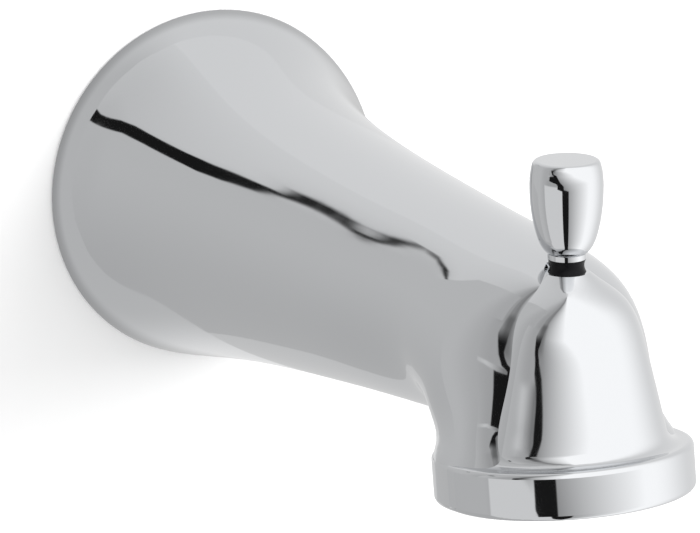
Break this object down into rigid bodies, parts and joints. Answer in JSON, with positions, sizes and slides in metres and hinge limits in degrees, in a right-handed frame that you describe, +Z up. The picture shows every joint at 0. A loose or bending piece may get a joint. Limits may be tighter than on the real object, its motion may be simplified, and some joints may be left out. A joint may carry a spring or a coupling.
{
  "type": "bath spout",
  "caption": "Chrome bath spout with a flared wall flange, a downturned bell outlet and a lift knob that raises a diverter gate inside.",
  "frame": {"origin": "middle of the flange's back face, where the supply pipe's axis meets the wall", "axes": "+Y into the wall, along the pipe, so the spout points along -Y; +Z up; +X to the right when facing the wall"},
  "size_m": [0.063, 0.1433, 0.063],
  "materials": {
    "chrome": "polished plating",
    "black_plastic": "moulded",
    "grey_plastic": "moulded",
    "rubber": "smooth",
    "brass": "machined",
    "steel": "turned"
  },
  "bodies": {
    "spout": {"spout_body": "chrome", "stem_bushing": "black_plastic", "stem_o_ring": "rubber", "waterway": "grey_plastic", "waterway_screws": "steel", "inlet_o_ring_outer": "rubber", "inlet_o_ring_inner": "rubber", "clamp_collar": "brass", "set_screw": "steel"},
    "diverter": {"diverter_knob": "chrome", "lift_rod": "steel", "diverter_gate": "black_plastic", "gate_seal": "rubber", "gate_clip": "steel"}
  },
  "joints": [
    {"name": "diverter_lift", "type": "slide", "parent": "spout", "child": "diverter", "axis": [0, 0, 1], "range_m": [0, 0.011]}
  ]
}
